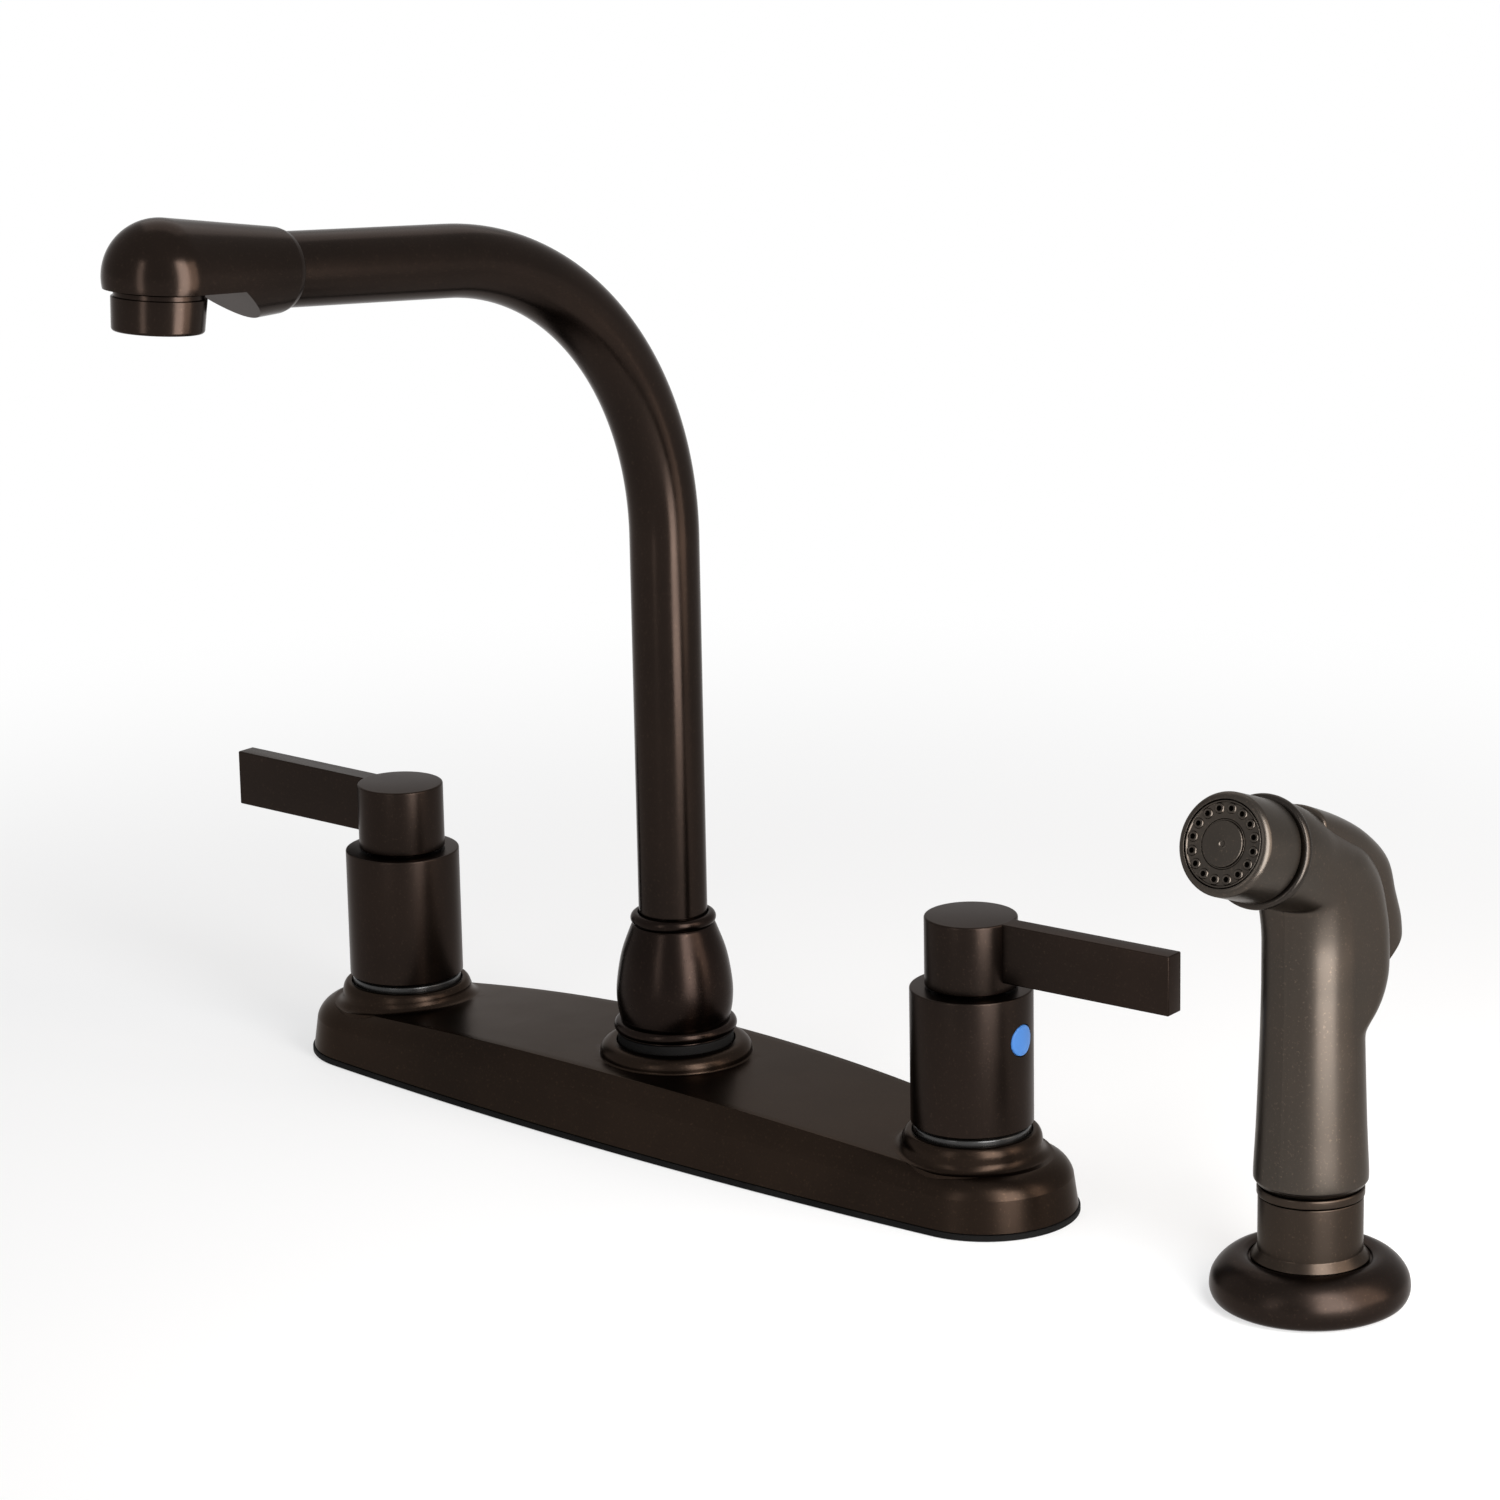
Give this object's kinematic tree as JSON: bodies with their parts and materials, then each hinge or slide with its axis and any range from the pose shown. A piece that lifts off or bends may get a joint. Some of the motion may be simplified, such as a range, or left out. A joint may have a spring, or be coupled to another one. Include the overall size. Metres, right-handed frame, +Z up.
{
  "type": "two handle kitchen faucet",
  "caption": "Kitchen faucet on a long deck plate: two lever handles on tall sleeves, a swivelling gooseneck spout with aerator, and a separate side sprayer in its holder.",
  "frame": {"origin": "on the spout's axis at the sink deck's surface, the underside of the base gasket", "axes": "+Z up out of the sink deck; the spout points towards -Y, to the user; +X is the cold side, where the sprayer stands"},
  "size_m": [0.3926, 0.2128, 0.321],
  "materials": {
    "bronze": "satin dark bronze",
    "plate_bronze": "satin dark bronze, a little warmer",
    "spray_bronze": "satin metallic brown coating",
    "brass": "machined",
    "steel": "plain",
    "rubber": "matte black",
    "white_plastic": "moulded",
    "dark_plastic": "moulded",
    "ceramic": "lapped",
    "cold_blue": "smooth",
    "hot_red": "smooth"
  },
  "bodies": {
    "base": {"deck_plate": "plate_bronze", "base_gasket": "rubber", "waterway_body": "brass", "spout_nut": "bronze", "spout_bushing": "white_plastic", "spout_seat_washer": "rubber", "diverter_body": "white_plastic", "hot_cartridge_body": "brass", "hot_lower_disc": "ceramic", "hot_seat_seal": "rubber", "hot_plate_nut": "dark_plastic", "hot_sleeve": "bronze", "hot_index_button": "hot_red", "cold_cartridge_body": "brass", "cold_lower_disc": "ceramic", "cold_seat_seal": "rubber", "cold_plate_nut": "dark_plastic", "cold_sleeve": "bronze", "cold_index_button": "cold_blue", "hot_mounting_washer": "steel", "hot_mounting_nut": "white_plastic", "cold_mounting_washer": "steel", "cold_mounting_nut": "white_plastic", "holder_escutcheon": "plate_bronze", "spray_holder": "spray_bronze", "holder_liner": "spray_bronze", "holder_washer": "steel", "holder_nut": "white_plastic"},
    "hot_lever": {"hot_handle": "bronze", "hot_stem": "brass", "hot_upper_disc": "ceramic", "hot_set_screw": "steel"},
    "cold_lever": {"cold_handle": "bronze", "cold_stem": "brass", "cold_upper_disc": "ceramic", "cold_set_screw": "steel"},
    "spout": {"spout_tube": "bronze", "spout_end_fitting": "brass", "spout_oring_lower": "rubber", "spout_oring_upper": "rubber", "spout_head": "bronze", "aerator_shell": "bronze", "aerator_insert": "white_plastic", "aerator_screen": "steel", "aerator_washer": "rubber"},
    "diverter": {"diverter_poppet": "white_plastic"},
    "hose_end": {"hose_coupling": "brass", "coupling_seal": "rubber"},
    "wand": {"wand_body": "spray_bronze", "trigger_pin": "steel", "nozzle_flange_ring": "dark_plastic", "nozzle_cap": "spray_bronze", "nozzle_face": "spray_bronze"},
    "trigger": {"spray_trigger": "spray_bronze"},
    "valve": {"valve_plunger": "white_plastic", "valve_spring": "steel"}
  },
  "joints": [
    {"name": "spout_swivel", "type": "hinge", "parent": "base", "child": "spout", "pos_m": [0, 0, 0], "axis": [0, 0, 1], "continuous": true},
    {"name": "hot_handle_turn", "type": "hinge", "parent": "base", "child": "hot_lever", "pos_m": [-0.1016, 0, 0], "axis": [0, 0, 1], "range_deg": [0, 90]},
    {"name": "cold_handle_turn", "type": "hinge", "parent": "base", "child": "cold_lever", "pos_m": [0.1016, 0, 0], "axis": [0, 0, 1], "range_deg": [-90, 0]},
    {"name": "diverter_slide", "type": "slide", "parent": "base", "child": "diverter", "axis": [0, 0, 1], "range_m": [0, 0.0015]},
    {"name": "sprayer_lift", "type": "slide", "parent": "base", "child": "hose_end", "axis": [0, 0, 1], "range_m": [0, 0.12]},
    {"name": "sprayer_swivel", "type": "hinge", "parent": "hose_end", "child": "wand", "pos_m": [0.2064, 0, 0], "axis": [0, 0, 1], "continuous": true},
    {"name": "trigger_press", "type": "hinge", "parent": "wand", "child": "trigger", "pos_m": [0.20678, -0.00899, 0.1162], "axis": [-0.9991, -0.0419, 0], "range_deg": [0, 4], "stiffness_Nm_per_rad": 1, "springref_deg": -6.88},
    {"name": "valve_slide", "type": "slide", "parent": "wand", "child": "valve", "axis": [0.0419, -0.9991, 0], "range_m": [0, 0.0022]}
  ],
  "couplings": [
    {"joint": "valve_slide", "follows": "trigger_press", "m_per_rad": 0.0302}
  ]
}
